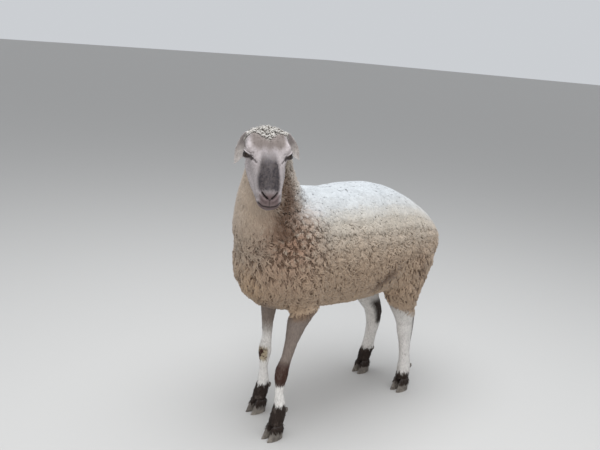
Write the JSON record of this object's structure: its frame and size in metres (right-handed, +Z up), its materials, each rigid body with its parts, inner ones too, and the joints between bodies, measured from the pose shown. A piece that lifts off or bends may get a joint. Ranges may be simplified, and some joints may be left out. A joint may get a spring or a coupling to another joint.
{
  "type": "sheep model",
  "caption": "Life-size still model of a standing hornless ewe in a short curly cream fleece, head turned to her left, with bare face and lower legs and a short broad tail.",
  "frame": {"origin": "on the floor under the middle of the whole model's box", "axes": "+Z up; the ewe faces -Y; her left side is toward +X"},
  "size_m": [0.3954, 0.9652, 0.9671],
  "materials": {
    "fleece": "matte short curly wool, white on the back, tan on the flanks and between the locks",
    "face": "short flat hair over pinkish grey skin, matte",
    "leg_hair": "short flat hair, white on the shanks and red-brown at the knees, matte",
    "dark_hair": "short dark brown hair, matte",
    "horn": "worn dusty hoof horn with fine growth lines",
    "eye": "wet dark brown eye with a clear gloss"
  },
  "bodies": {
    "root": {"head": "face", "neck": "fleece", "trunk": "fleece", "tail": "fleece", "ear_left": "face", "eye_left": "eye", "ear_right": "face", "eye_right": "eye", "foreleg_left_forearm": "leg_hair", "foreleg_left_cannon": "leg_hair", "foreleg_left_pastern": "dark_hair", "foreleg_left_claw_outer": "horn", "foreleg_left_dewclaw_outer": "horn", "foreleg_left_claw_inner": "horn", "foreleg_left_dewclaw_inner": "horn", "foreleg_right_forearm": "leg_hair", "foreleg_right_cannon": "leg_hair", "foreleg_right_pastern": "dark_hair", "foreleg_right_claw_outer": "horn", "foreleg_right_dewclaw_outer": "horn", "foreleg_right_claw_inner": "horn", "foreleg_right_dewclaw_inner": "horn", "hindleg_left_thigh": "fleece", "hindleg_left_cannon": "leg_hair", "hindleg_left_pastern": "dark_hair", "hindleg_left_claw_outer": "horn", "hindleg_left_dewclaw_outer": "horn", "hindleg_left_claw_inner": "horn", "hindleg_left_dewclaw_inner": "horn", "hindleg_right_thigh": "fleece", "hindleg_right_cannon": "leg_hair", "hindleg_right_pastern": "dark_hair", "hindleg_right_claw_outer": "horn", "hindleg_right_dewclaw_outer": "horn", "hindleg_right_claw_inner": "horn", "hindleg_right_dewclaw_inner": "horn"}
  },
  "joints": []
}
